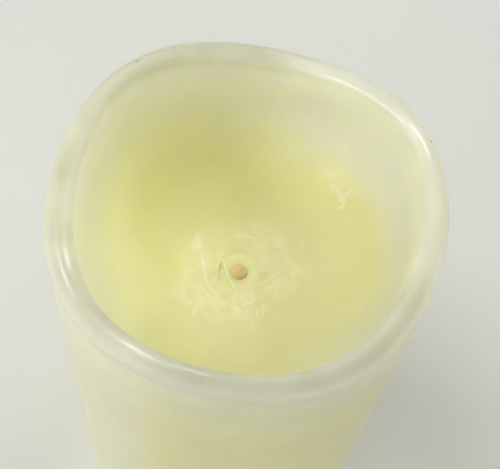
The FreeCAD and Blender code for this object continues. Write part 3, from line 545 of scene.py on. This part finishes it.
def wax_material(name, specks=()):
    """Ivory wax: chalky grey at the rim, partly painted shade, yellower down in the bowl, mottled where it
    was re-melted, with painted light and shade.
    """
    m = Nodes(name)
    where = m.position()
    drift = m.spread(m.noise(where, 21.0, 2.0), 0.25, 0.75, -0.03, 0.03)
    depth = m.math("ADD", m.attribute("depth"), drift)
    base = m.mix(m.attribute("outer"), m.ramp(depth, BOWL_STOPS), m.ramp(depth, SIDE_STOPS))
    # painted light on a paler stretch of the rim
    base = m.mix(m.math("MULTIPLY", m.attribute("pale"), 0.6), base, MARKS["pale"])
    cloud = m.spread(m.noise(where, 9.0, 5.0, 0.6), 0.25, 0.75, 0.98, 1.015)
    base = m.mix(1.0, base, cloud, "MULTIPLY")
    # painted light and shade: brightness and blueness stored on the points
    tone = m.add("ShaderNodeCombineColor")
    m.link(m.attribute("painted_light_level"), tone.inputs[0])
    m.link(m.attribute("painted_light_level"), tone.inputs[1])
    m.link(m.math("MULTIPLY", m.attribute("painted_light_level"), m.attribute("blue")), tone.inputs[2])
    base = m.mix(1.0, base, tone.outputs[0], "MULTIPLY")
    mottles = [(0.36, MARKS["green"]), (0.5, MARKS["plain"]), (0.64, MARKS["pink"])]
    tint = m.ramp(m.noise(where, 2.6, 4.0, 0.6), mottles)
    base = m.mix(m.attribute("patch"), base, m.mix(0.55, base, tint))
    base = m.mix(m.attribute("worn"), base, MARKS["mark"])
    # painted shade in the dents and round the LED
    base = m.mix(m.attribute("shade"), base, MARKS["hollow"])
    flecks = m.math("MULTIPLY", m.flecks(where, 9.0, 0.10, 0.010, 0.028), 0.5)
    base = m.mix(flecks, base, MARKS["speck"])
    for *at, size in specks:
        spot = m.spread(m.away(where, at), 0.4 * size, 1.5 * size, 0.45, 0.0)
        base = m.mix(spot, base, MARKS["speck"])
    m.link(base, m.shader.inputs["Base Color"])
    rough = m.spread(m.noise(where, 6.5, 4.0), 0.25, 0.75, 0.36, 0.48)
    rough = m.math("ADD", rough, m.math("MULTIPLY", m.attribute("dull"), 0.16))
    rough = m.math("ADD", rough, m.math("MULTIPLY", m.attribute("worn"), 0.12))
    sleek = m.mix(m.attribute("gloss"), rough, (GLINT_ROUGH,) * 3)
    m.link(sleek, m.shader.inputs["Roughness"])
    skin = m.math("MULTIPLY", m.noise(where, 0.9, 5.0, 0.65), 0.35)
    skin = m.math("ADD", skin, m.noise(where, 5.0, 3.0))
    m.bump(skin, 0.09, 0.5)
    m.set(Subsurface_Weight=1.0, IOR=1.43, Specular_IOR_Level=0.5)
    m.link(m.math("MULTIPLY", m.attribute("glow"), MM), m.shader.inputs["Subsurface Scale"])
    m.shader.inputs["Subsurface Radius"].default_value = (1.0, 0.92, 0.5)
    return m.material


def vertex_places(item):
    """The x, y and z of a mesh's points in millimetres."""
    co = np.zeros(len(item.data.vertices) * 3)
    item.data.vertices.foreach_get("co", co)
    return (co.reshape(-1, 3) / MM).T


def paint(item, name, values):
    """Stores a value at each point of a mesh, for its material to read."""
    attribute = item.data.attributes.new(name, "FLOAT", "POINT")
    attribute.data.foreach_set("value", np.asarray(values, dtype=np.float32))


def outside_share(r):
    """0 over the bowl and the rim's crest, 1 on the outer wall."""
    return smooth(36.0, 37.2, r)


def painted_light_tones(phi, r, below):
    """Painted light and shade: how much brighter the wax is painted than its base colour, and how much bluer,
    by direction, by distance from the axis and by depth below the crest."""
    outer = outside_share(r)
    # painted light and shade in the bowl: paler on the left, a painted shade arc near the front's lip,
    # painted patches of light and shade, and a darker floor
    bowl = 0.055 * np.cos(phi - math.radians(195)) * (1 - smooth(20, 27, below))
    bowl = bowl + (0.04 - 0.13 * hump(phi, 288, 56)) * (1 - smooth(2.5, 5.0, below))
    for turn, down, wide, deep, more in PAINTED_LIGHT_PATCHES:
        off = (np.degrees(phi) - turn + 180) % 360 - 180
        bowl = bowl + more * np.exp(-((off / wide) ** 2) - ((below - down) / deep) ** 2)
    bowl = bowl - 0.03 * smooth(22, 27, below) - 0.038 * (1 - smooth(13.0, 26.0, r))
    # painted light and shade on the lip: greyer along its crown in front and on the left, paler at the right
    crown = smooth(33.5, 35.2, r) * (1 - 0.35 * smooth(36.6, 37.8, r))
    lip = (0.08 - 0.11 * crown) * hump(phi, 192, 34) - 0.065 * hump(phi, 228, 30)
    lip = lip - 0.03 * smooth(34.6, 36.0, r) * hump(phi, 256, 30)
    lip = lip - (0.11 * crown - 0.01) * hump(phi, 305, 50)
    lip = lip - 0.06 * hump(phi, 100, 24) + 0.06 * hump(phi, 74, 26) + 0.09 * hump(phi, 336, 24)
    lip = lip * (1 - smooth(1.5, 9.0, below)) * (r > 31)
    # painted light and shade on the outer wall
    wall = 0.03 * hump(phi, 225, 40) + 0.05 * hump(phi, 315, 55)
    wall = wall - 0.05 * hump(phi, 285, 55) * (1 - smooth(8, 24, below))
    # painted tint of the light for the same three parts: bluer where the sky's light falls, yellower in the
    # shade
    bowl_blue = 0.10 * hump(phi, 40, 45) * smooth(8, 16, below) * (1 - smooth(22, 29, below))
    bowl_blue = bowl_blue - 0.08 * hump(phi, 140, 90) * smooth(14, 22, below)
    wall_blue = 0.19 * hump(phi, 220, 36) * smooth(8, 20, below)
    wall_blue = wall_blue - 0.13 * hump(phi, 282, 50) * smooth(6, 20, below)
    lip_blue = 0.05 * hump(phi, 236, 44) * (1 - smooth(2.0, 7.0, below)) * (r > 31)
    painted_light_level = 1 + (1 - outer) * bowl + outer * wall + lip
    return painted_light_level, 1 + (1 - outer) * bowl_blue + outer * wall_blue + lip_blue


def paint_wax(item):
    """Stores at each point how far down it lies, whether it is outside, how the wax was worked there, and the
    painted light and shade on it.
    """
    x, y, z = vertex_places(item)
    r = np.hypot(x, y)
    phi = np.arctan2(y, x)
    below = rim_height(phi) - z
    bowl = smooth(31.0, 29.5, r) * (z > BOWL_FLOOR - 2) * (z < BOWL_FLOOR + 14)
    _, shows = stroke_lift(x, y)
    patch = scrape_mask(x, y)
    blotch = np.array([fbm(a, b, 0, 3.0, 3, 6) for a, b in zip(x, y)]) * bowl
    paint(item, "depth", np.clip(below / DEPTH_SPAN, 0, 1))
    paint(item, "outer", outside_share(r))
    paint(item, "patch", np.clip(patch * (0.75 + 0.8 * blotch), 0, 1) * bowl)
    worn = patch * 0.35 * np.clip(blotch, 0, 1) + 0.34 * shows * (1 + 1.5 * (r > 20))
    paint(item, "worn", np.clip(worn, 0, 1) * bowl)
    # painted shade in the dents
    paint(item, "shade", np.clip(dents_at(x, y)[1], 0, 0.8) * bowl)
    spot = np.exp(-((x - SPOT[0]) ** 2 + (y - SPOT[1]) ** 2) / 12.0) * (r < 34) * (z < BOWL_FLOOR + 20)
    glint = rim_gloss(phi) * (1 - smooth(2.0, 5.0, below)) * (r > 31)
    paint(item, "gloss", np.clip(0.4 * spot + glint, 0, 1))
    matt = 0.9 * (1 - rim_gloss(phi)) * (1 - smooth(4.0, 12.0, below))
    paint(item, "dull", np.maximum(smooth(4.0, 14.0, below) * (r < 34), matt))
    # how far light spreads inside, in millimetres: little near the plug, far in the thin rim
    floor_glow = 0.15 + 0.65 * smooth(4.3, 5.5, r) + 2.7 * smooth(5.0, 13.0, r)
    paint(item, "glow", floor_glow + 5.5 * (1 - smooth(2.0, 16.0, below)) * (r > 30))
    # painted light and shade by direction, distance from the axis and depth
    painted_light_level, blue = painted_light_tones(phi, r, below)
    paint(item, "painted_light_level", painted_light_level)
    paint(item, "blue", blue)
    # painted light on a pale stretch of the rim, to the right and back
    paint(item, "pale", hump(phi, 35, 60) * smooth(27.0, 33.0, r) * (r < 37.6))


# ---------------------------------------------------------------- plug of re-melted wax round the LED

# the plug's left part, beyond a straight edge, lies lower than the rest: that edge's direction and distance
CHORD = (-0.884, -0.468, 2.31)
LED_R = 1.5
FLANGE_R = 1.9
FLANGE_TOP = 114.5
PLUG_TOP = 116.6
# play over the LED's flange
FLANGE_GAP = 0.03
# level below which the plug and its hole are plain
PLUG_LOW = 111.0
# depth below the crest from which the plug takes its colour
PLUG_DEPTH = 31.0


def past_chord(x, y):
    """How far points x, y lie beyond the straight edge of the plug's lower part."""
    return x * CHORD[0] + y * CHORD[1] - CHORD[2]


def plug_height(x, y):
    """Height of the plug's top: dished at the LED, rising outward, with a ridge along the straight edge."""
    r = np.hypot(x, y)
    past = past_chord(x, y)
    low = smooth(-0.05, 0.4, past)
    rise = 0.37 * smooth(2.0, 4.1, r) * (1 - 0.75 * low)
    ridge = 0.20 * np.exp(-(((past + 0.05) / 0.17) ** 2)) * smooth(1.7, 2.2, r)
    dish = 0.16 * smooth(2.4, 1.6, r)
    fine = np.array([fbm(a, b, 0, 1.3, 3, 8) for a, b in zip(x, y)])
    coarse = np.array([fbm(a, b, 0, 3.1, 2, 9) for a, b in zip(x, y)])
    grain = 0.05 * (fine + coarse) * smooth(1.55, 2.1, r)
    return PLUG_TOP + rise + ridge - dish - 0.26 * low + grain


def make_plug():
    phi = np.linspace(0, TAU, PLUG_SIDES, endpoint=False)
    cos, sin = np.cos(phi), np.sin(phi)
    rings = []

    def ring(r, z):
        rings.append(np.stack([r * cos, r * sin, z + np.zeros_like(phi)], axis=1))

    # up the side, over the sunken edge and in across the top to the LED
    for z in (CAVITY_ROOF, PLUG_LOW, 114.0, 115.6):
        ring(PLUG_R, z)
    edge = plug_height((PLUG_R - 0.1) * cos, (PLUG_R - 0.1) * sin)
    for r, sunk in ((PLUG_R, 0.05), (PLUG_R - 0.03, 0.015)):
        ring(r, edge - sunk * seam_share(phi))
    for r in np.linspace(PLUG_R - 0.12, LED_R + 0.03, 36):
        ring(r, plug_height(r * cos, r * sin))
    # down the LED's hole and round its flange
    ring(LED_R + LED_GAP, 115.5)
    ring(LED_R + LED_GAP, FLANGE_TOP + FLANGE_GAP)
    for z in (FLANGE_TOP + FLANGE_GAP, PLUG_LOW, CAVITY_ROOF):
        ring(FLANGE_R + LED_GAP, z)
    return loop_lattice("wax_plug_melt", rings)


def paint_plug(item):
    """Stores on the plug what paint_wax stores on the wax."""
    x, y, z = vertex_places(item)
    r = np.hypot(x, y)
    past = past_chord(x, y)
    ridge = np.exp(-(((past + 0.05) / 0.22) ** 2)) * smooth(1.9, 2.4, r) * (z > 116)
    # a painted shadow round the LED, weaker in front
    shadow = smooth(2.2, 1.8, r) * (1 - 0.8 * hump(np.arctan2(y, x), 285, 75))
    paint(item, "depth", np.full(len(x), PLUG_DEPTH / DEPTH_SPAN))
    paint(item, "outer", np.zeros(len(x)))
    paint(item, "patch", np.full(len(x), 0.9))
    paint(item, "worn", 0.7 * ridge)
    # painted shade on the plug's lower part beyond the straight edge, and the painted shadow round the LED
    paint(item, "shade", np.clip(0.12 * smooth(0, 0.5, past) + 0.10 * shadow, 0, 1))
    paint(item, "pale", np.zeros(len(x)))
    # painted light: the plug a little darker overall, and lighter close round the LED
    paint(item, "painted_light_level", 0.98 + 0.12 * smooth(2.1, 1.7, r))
    paint(item, "blue", np.ones(len(x)))
    paint(item, "dull", np.ones(len(x)))
    paint(item, "glow", 0.8 - 0.65 * smooth(2.8, 4.0, r))
    paint(item, "gloss", smooth(2.3, 1.8, r))


# ---------------------------------------------------------------- the other materials


def finish(name, color, rough, metallic=0.0, vary=0.05, size=8.0, grain=0.5, depth=0.012, stretch=(1, 1, 1)):
    """A moulded, sheet or coated surface: colour that varies in clouds of a size, uneven sheen, and a fine
    grain with its own size and depth. Both sheen and grain may be stretched."""
    m = Nodes(name)
    where = m.position()
    drawn = m.stretched(where, stretch)
    light = tuple(min(c * (1 + vary), 1) for c in color)
    dark = tuple(c * (1 - 1.6 * vary) for c in color)
    tone = m.ramp(m.noise(where, size, 5.0, 0.6), [(0.3, dark), (0.5, color), (0.72, light)])
    m.link(tone, m.shader.inputs["Base Color"])
    sheen = m.spread(m.noise(drawn, size * 0.35, 5.0), 0.25, 0.75, rough - 0.07, rough + 0.09)
    m.link(sheen, m.shader.inputs["Roughness"])
    m.bump(m.noise(drawn, grain, 4.0, 0.6), depth, 0.8)
    m.set(Metallic=metallic)
    return m


def tone_of(m):
    """The colour now linked to the shader, to build on."""
    return m.shader.inputs["Base Color"].links[0].from_socket


def retone(m, color):
    """Links another colour to the shader."""
    m.link(color, m.shader.inputs["Base Color"])


# middle of the LED's bright part, painted light set toward the front
LED_BRIGHT = (0.18, -0.55, 0)


def led_material():
    """Amber epoxy with its light painted on: bright where the cup shows through, olive toward the edge, where
    the dome bends it.
    """
    m = finish("led_epoxy_amber", (0.70, 0.575, 0.25), 0.33, vary=0.07, size=1.1, grain=0.8, depth=0.004)
    where = m.position()
    uneven = m.spread(m.noise(where, 0.9), 0.3, 0.7, -0.12, 0.12)
    off = m.math("ADD", m.away(where, LED_BRIGHT, (1, 1, 0)), uneven)
    edge = m.spread(off, 0.95, 1.6)
    up = m.spread(m.axis(where, 2), PLUG_TOP - 0.2, PLUG_TOP + 1.0)
    rim = m.mix(up, (0.74, 0.64, 0.33), (0.72, 0.67, 0.38))
    retone(m, m.mix(edge, tone_of(m), rim))
    m.set(IOR=1.55, Subsurface_Weight=0.6, Subsurface_Scale=1.2 * MM)
    return m.material


# height of the cells' middle
CELL_MIDDLE = 31.3


def sleeve_material():
    """Plain cell sleeve: near black, with a copper-coloured band round the end by the raised contact."""
    m = finish("cell_sleeve_film", (0.045, 0.05, 0.055), 0.22, vary=0.12, size=12, grain=3.0, depth=0.02)
    where = m.position()
    side = m.math("SIGN", m.axis(where, 0), 0.0)
    along = m.math("SUBTRACT", m.axis(where, 2), CELL_MIDDLE)
    along = m.math("MULTIPLY", along, m.math("MULTIPLY", side, -1.0))
    band = m.math("GREATER_THAN", along, 9.5)
    hem = m.math("MULTIPLY", m.math("GREATER_THAN", along, 8.6), m.math("LESS_THAN", along, 9.2))
    copper = m.ramp(m.noise(where, 6.0), [(0.3, (0.50, 0.27, 0.12)), (0.7, (0.60, 0.34, 0.17))])
    retone(m, m.mix(hem, m.mix(band, tone_of(m), copper), (0.62, 0.60, 0.55)))
    return m.material


def board_material():
    """Phenolic laminate with paper fibres and a pattern of paler lines."""
    m = finish("board_phenolic", (0.50, 0.36, 0.18), 0.42, vary=0.10, size=3.0, grain=0.35, depth=0.02)
    where = m.position()
    fibres = m.spread(m.noise(m.stretched(where, (1, 6, 1)), 1.6, 5.0, 0.7), 0.42, 0.66, 0.88, 1.08)
    traces = m.add("ShaderNodeTexBrick", Scale=1.0, offset=0.5)
    lines = {"Mortar Size": 0.32, "Brick Width": 7.4, "Row Height": 3.1, "Mortar Smooth": 0.1}
    for socket, value in lines.items():
        traces.inputs[socket].default_value = value
    m.link(where, traces.inputs["Vector"])
    line = m.math("MULTIPLY", traces.outputs["Fac"], 0.55)
    base = m.mix(1.0, tone_of(m), fibres, "MULTIPLY")
    retone(m, m.mix(line, base, (0.62, 0.47, 0.26)))
    return m.material


# the resistor's bands: place along its length and colour
BANDS = [
    (15.9, (0.25, 0.07, 0.02)),
    (16.8, (0.02, 0.02, 0.02)),
    (17.7, (0.50, 0.05, 0.02)),
    (19.0, (0.55, 0.38, 0.08)),
]


def resistor_material():
    """Lacquered body with four colour bands along its length."""
    m = finish("resistor_lacquer", (0.70, 0.56, 0.36), 0.25, vary=0.05, size=2.0, grain=0.8, depth=0.01)
    along = m.axis(m.position(), 1)
    base = tone_of(m)
    for at, color in BANDS:
        near = m.spread(m.math("ABSOLUTE", m.math("SUBTRACT", along, at), 0.0), 0.20, 0.24, 1.0, 0.0)
        base = m.mix(near, base, color)
    retone(m, base)
    return m.material


def capacitor_material():
    """Dark shrink sleeve with a pale stripe down one side and a bare top."""
    m = finish("capacitor_film", (0.03, 0.05, 0.13), 0.24, vary=0.12, size=4.0, grain=1.6, depth=0.015)
    where = m.position()
    stripe = m.spread(m.axis(where, 0), 8.35, 8.42, 1.0, 0.0)
    top = m.spread(m.axis(where, 2), 20.95, 21.0)
    base = m.mix(stripe, tone_of(m), (0.62, 0.64, 0.66))
    retone(m, m.mix(top, base, (0.70, 0.70, 0.70)))
    return m.material


def glue_material():
    """Hot-melt glue: cloudy and glossy, with small bubbles."""
    m = finish("hot_glue_cloudy", (0.84, 0.80, 0.66), 0.24, vary=0.06, size=3.0, grain=1.4, depth=0.06)
    bubbles = m.flecks(m.position(), 1.2, 0.3, 0.10, 0.22)
    retone(m, m.mix(m.math("MULTIPLY", bubbles, 0.35), tone_of(m), (0.95, 0.93, 0.84)))
    m.set(Subsurface_Weight=0.8, Subsurface_Scale=1.5 * MM, Subsurface_Radius=(1.0, 0.92, 0.7))
    return m.material


def door_material():
    """The base's ivory plastic again, with faint rubbing where a thumb turns the door."""
    m = finish("door_plastic_textured", (0.79, 0.76, 0.65), 0.5, vary=0.035, size=10, grain=0.30, depth=0.02)
    where = m.position()
    low = m.spread(m.axis(where, 2), 1.2, 2.2, 1.0, 0.0)
    rub = m.spread(m.noise(m.stretched(where, (0.5, 1.6, 1)), 2.4, 5.0, 0.7), 0.52, 0.72)
    rub = m.math("MULTIPLY", rub, low)
    retone(m, m.mix(m.math("MULTIPLY", rub, 0.4), tone_of(m), (0.62, 0.58, 0.47)))
    return m.material


def switch_knob_material():
    """Black moulded plastic, greyed in places where a fingernail pushes it."""
    black = (0.035, 0.035, 0.037)
    m = finish("knob_plastic_moulded", black, 0.48, vary=0.10, size=2.0, grain=0.25, depth=0.02)
    worn = m.spread(m.noise(m.position(), 0.9, 5.0, 0.7), 0.58, 0.74)
    retone(m, m.mix(m.math("MULTIPLY", worn, 0.35), tone_of(m), (0.11, 0.11, 0.11)))
    return m.material


# plain finishes by the CAD's material: finish's arguments in order (name, colour, roughness, metallic,
# variation, size of the clouds, size and depth of the grain, and its stretch where it has one)
FINISHES = {
    "tinned_steel": ("tinned_leads", (0.70, 0.69, 0.67), 0.30, 1.0, 0.06, 1.5, 0.4, 0.006, (1, 1, 0.15)),
    "heat_shrink": ("heat_shrink_tube", (0.03, 0.03, 0.031), 0.46, 0.0, 0.12, 2.0, 0.7, 0.03, (1, 1, 0.5)),
    "base_plastic": ("base_plastic_textured", (0.80, 0.77, 0.66), 0.52, 0.0, 0.035, 14.0, 0.30, 0.02),
    "cover_plastic": ("cover_plastic_satin", (0.74, 0.73, 0.69), 0.42, 0.0, 0.04, 16.0, 0.45, 0.018),
    "screw_steel": ("screw_zinc", (0.60, 0.60, 0.58), 0.34, 1.0, 0.10, 1.6, 0.30, 0.010, (1, 1, 3)),
    "grommet_rubber": ("grommet_rubber_matt", (0.045, 0.044, 0.043), 0.78, 0.0, 0.15, 2.0, 0.4, 0.03),
    "cell_steel": ("cell_nickel", (0.66, 0.65, 0.62), 0.28, 1.0, 0.05, 5.0, 0.5, 0.006, (1, 1, 0.1)),
    "contact_steel": ("contact_nickel", (0.72, 0.70, 0.65), 0.30, 1.0, 0.06, 3.0, 0.35, 0.008, (0.15, 1, 1)),
    "spring_steel": ("spring_nickel", (0.70, 0.69, 0.66), 0.27, 1.0, 0.07, 2.0, 0.3, 0.006),
    "chip_epoxy": ("chip_epoxy_poured", (0.018, 0.018, 0.019), 0.26, 0.0, 0.15, 2.5, 1.6, 0.06),
    "crystal_can": ("crystal_can_nickel", (0.74, 0.74, 0.73), 0.24, 1.0, 0.05, 2.0, 0.5, 0.006, (0.1, 1, 1)),
    "solder": ("solder_bright", (0.64, 0.64, 0.63), 0.32, 1.0, 0.10, 0.8, 0.5, 0.04),
    "switch_steel": ("switch_tinplate", (0.68, 0.67, 0.64), 0.33, 1.0, 0.07, 3.0, 0.35, 0.008, (0.15, 1, 1)),
    "wafer_laminate": ("wafer_phenolic", (0.34, 0.19, 0.09), 0.46, 0.0, 0.14, 1.5, 0.3, 0.02, (0.3, 1, 1)),
    "red_insulation": ("insulation_red", (0.60, 0.035, 0.025), 0.38, 0.0, 0.08, 4.0, 0.8, 0.012),
    "black_insulation": ("insulation_black", (0.028, 0.028, 0.029), 0.40, 0.0, 0.12, 4.0, 0.8, 0.012),
}
# finishes with a pattern or a glow of their own
PATTERNED = {
    "hot_glue": glue_material,
    "cell_sleeve": sleeve_material,
    "board_laminate": board_material,
    "resistor_body": resistor_material,
    "capacitor_sleeve": capacitor_material,
    "door_plastic": door_material,
    "knob_plastic": switch_knob_material,
    "led_epoxy": led_material,
}


def make_finish(kind):
    """The look of a CAD material by its name."""
    if kind in PATTERNED:
        return PATTERNED[kind]()
    return finish(*FINISHES[kind]).material


# ---------------------------------------------------------------- build

wax = make_wax()
paint_wax(wax)
wax.data.materials.append(wax_material("wax_ivory", SPECKS))
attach(wax, "pillar")
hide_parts("wax_shell")

plug = make_plug()
paint_plug(plug)
plug.data.materials.append(wax_material("plug_wax_melted"))
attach(plug, "pillar")
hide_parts("wax_plug")

finishes = {}
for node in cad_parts.values():
    for slot in node.material_slots:
        kind = slot.material.name
        if kind in FINISHES or kind in PATTERNED:
            if kind not in finishes:
                finishes[kind] = make_finish(kind)
            slot.material = finishes[kind]

# ---------------------------------------------------------------- floor, light and camera


# the floor's half width in metres, and how many squares it has to a side
FLOOR_REACH = 3.0
FLOOR_STEPS = 24
PAPER, PAPER_FAR = (0.795, 0.80, 0.748), (0.10, 0.10, 0.095)
# distances between which the floor darkens, and between which its faint glow rises, in millimetres
DARKENS = (600.0, 1500.0)
GLOWS = (600.0, 1600.0)


def make_floor():
    """A sheet of paper that fades into a soft horizon, darkening far off where a painted glow lights it
    instead.
    """
    row = FLOOR_STEPS + 1
    marks = [FLOOR_REACH * (2 * i / FLOOR_STEPS - 1) for i in range(row)]
    corners = [j * row + i for j in range(FLOOR_STEPS) for i in range(FLOOR_STEPS)]
    faces = [(k, k + 1, k + row + 1, k + row) for k in corners]
    item = new_mesh("floor", [(x, y, 0.0) for y in marks for x in marks], faces)
    m = Nodes("floor_paper")
    m.set(Roughness=0.75, Emission_Color=(1.0, 1.0, 0.955, 1))
    away = m.away(m.position(), (0, 0, 0))
    m.link(m.spread(away, *GLOWS, 0.0, 0.37), m.shader.inputs["Emission Strength"])
    m.link(m.mix(m.spread(away, *DARKENS), PAPER, PAPER_FAR), m.shader.inputs["Base Color"])
    item.data.materials.append(m.material)


# where the lamps point, and how far off they stand, in metres
LAMP_AIM = Vector((0, 0, 0.12))
LAMP_AWAY = 1.5


def lamp(name, turn, lift, sides, power, glints=False):
    """A soft rectangular light. Turn is its direction about +Z from the front (-Y) toward +X, lift its height
    above the floor, both in degrees. It lights the surfaces, or with glints only shows in their gloss."""
    turn, lift = math.radians(turn), math.radians(lift)
    out = Vector((math.sin(turn) * math.cos(lift), -math.cos(turn) * math.cos(lift), math.sin(lift)))
    data = bpy.data.lights.new(name, "AREA")
    data.shape = "RECTANGLE"
    data.size, data.size_y = sides
    data.energy = power
    item = bpy.data.objects.new(name, data)
    at = LAMP_AIM + LAMP_AWAY * out
    item.location = at
    item.rotation_mode = "QUATERNION"
    item.rotation_quaternion = (LAMP_AIM - at).to_track_quat("-Z", "Y")
    item.visible_camera = False
    item.visible_glossy = glints
    item.visible_diffuse = not glints
    bpy.context.scene.collection.objects.link(item)


# the sky's colour low down and high up: place on its ramp and colour
SKY = [(0.10, (0.41, 0.41, 0.39)), (0.45, (0.03, 0.03, 0.028))]


def make_sky():
    world = bpy.data.worlds.new("studio")
    world.use_nodes = True
    tree = world.node_tree
    where = tree.nodes.new("ShaderNodeTexCoord")
    parts = tree.nodes.new("ShaderNodeSeparateXYZ")
    sky = tree.nodes.new("ShaderNodeValToRGB")
    tree.links.new(where.outputs["Generated"], parts.inputs[0])
    tree.links.new(parts.outputs["Z"], sky.inputs["Fac"])
    tree.links.new(sky.outputs["Color"], tree.nodes["Background"].inputs["Color"])
    for element, (at, color) in zip(sky.color_ramp.elements, SKY):
        element.position = at
        element.color = (*color, 1)
    bpy.context.scene.world = world


def make_light():
    make_sky()
    lamp("window_high", 270, 65, (0.65, 0.65), 9.1)
    lamp("window_low", 270, 15, (1.5, 1.5), 4.5)
    lamp("fill_back", 135, 40, (0.8, 0.8), 5.4)
    lamp("fill_right", 90, 40, (0.8, 0.8), 4.0)
    lamp("fill_front", 0, 65, (0.8, 0.8), 5.4)
    lamp("fill_left", 315, 15, (0.8, 0.8), 4.4)
    lamp("window_glint_low", 223, 46, (0.22, 0.5), 8.5, glints=True)
    lamp("window_glint_high", 240, 60, (0.3, 0.3), 2.2, glints=True)
    lamp("window_glint_back", 175, 57, (0.25, 0.25), 6.5, glints=True)


# the camera's place in millimetres, and its yaw, pitch and roll in degrees
CAMERA_AT = Vector((0, -93.5, 328))
CAMERA_TURNS = (0.78, 64.1, 7.6)


def make_camera():
    """Looks down into the bowl from in front, close to, turned a little about its own axis."""
    yaw, pitch, roll = (math.radians(turn) for turn in CAMERA_TURNS)
    ahead = Vector((math.sin(yaw) * math.cos(pitch), math.cos(yaw) * math.cos(pitch), -math.sin(pitch)))
    level = Vector((math.cos(yaw), -math.sin(yaw), 0))
    above = level.cross(ahead)
    right = math.cos(roll) * level + math.sin(roll) * above
    up = -math.sin(roll) * level + math.cos(roll) * above
    data = bpy.data.cameras.new("camera")
    data.lens, data.sensor_width = 79.2, 36.0
    data.clip_start, data.clip_end = 0.01, 20.0
    item = bpy.data.objects.new("camera", data)
    turned = Matrix((right, up, -ahead)).transposed().to_4x4()
    item.matrix_world = Matrix.Translation(CAMERA_AT * MM) @ turned
    bpy.context.scene.collection.objects.link(item)
    bpy.context.scene.camera = item


make_floor()
make_light()
make_camera()
bpy.context.scene.view_settings.view_transform = "Standard"
